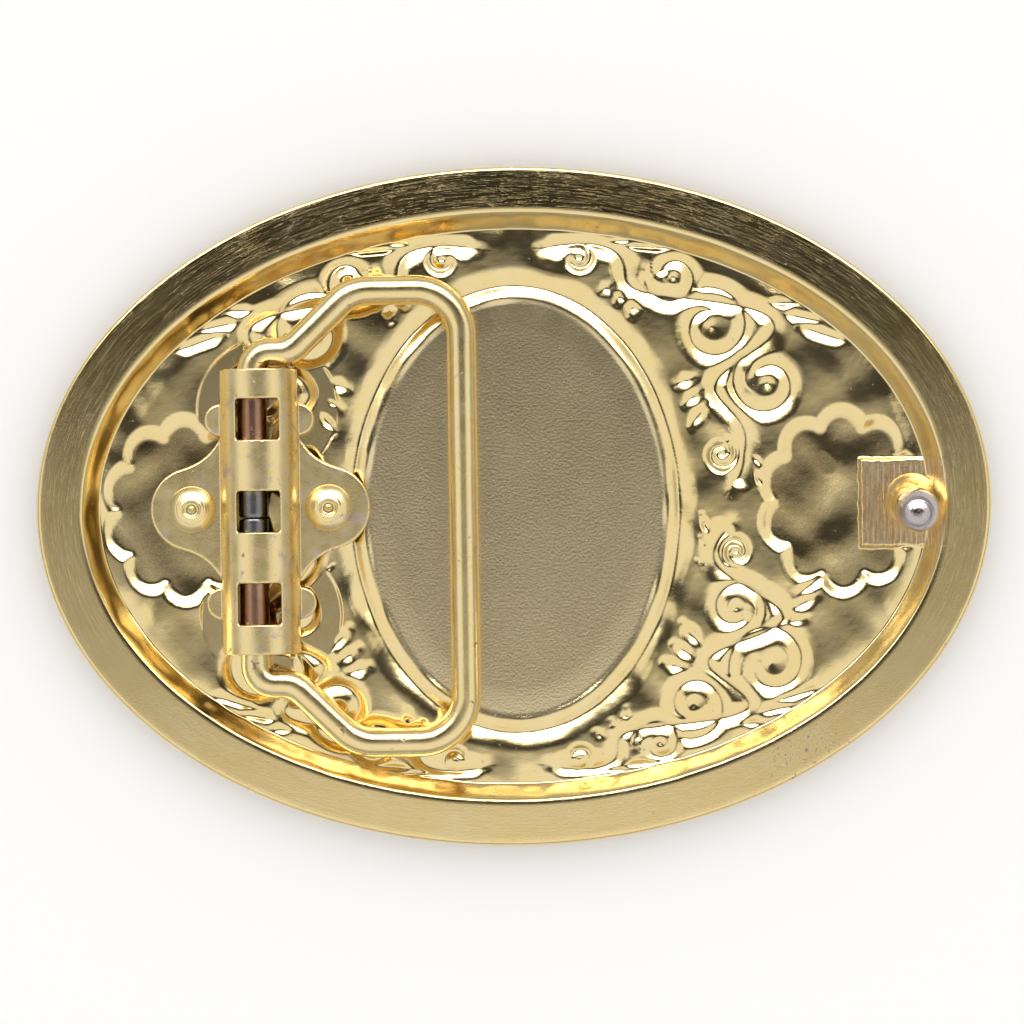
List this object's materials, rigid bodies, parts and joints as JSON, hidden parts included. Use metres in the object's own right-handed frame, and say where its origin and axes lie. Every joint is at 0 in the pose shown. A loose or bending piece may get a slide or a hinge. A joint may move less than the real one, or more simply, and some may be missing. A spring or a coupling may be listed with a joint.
{
  "type": "belt buckle",
  "caption": "Oval dress belt buckle lying face down: dished plate, hinge bracket riveted on, swinging wire bail for the strap and a headed belt stud.",
  "frame": {"origin": "centre of the oval plate, on the plane that its decorated face lies on", "axes": "+Z out of the plate's back, +X along the plate's length from the hinge bracket to the belt stud, +Y across the belt"},
  "size_m": [0.0956, 0.068, 0.0103],
  "materials": {
    "plate_gold": "polished gold plate with fine brushing, wear and corrosion specks",
    "bracket_gold": "satin gold plate, worn grey along the arch",
    "rivet_gold": "spun gold-plated heads with turned rings",
    "wire_gold": "polished gold-plated wire with small pits",
    "stud_worn": "turned head worn through its gold to grey metal"
  },
  "bodies": {
    "plate_assembly": {"plate": "plate_gold", "hinge_bracket": "bracket_gold", "rivet_left": "rivet_gold", "rivet_right": "rivet_gold", "belt_stud": "stud_worn"},
    "bail": {"bail": "wire_gold"}
  },
  "joints": [
    {"name": "bail_swing", "type": "hinge", "parent": "plate_assembly", "child": "bail", "pos_m": [-0.026, 0, 0.00475], "axis": [0, -1, 0], "range_deg": [0, 168]}
  ]
}
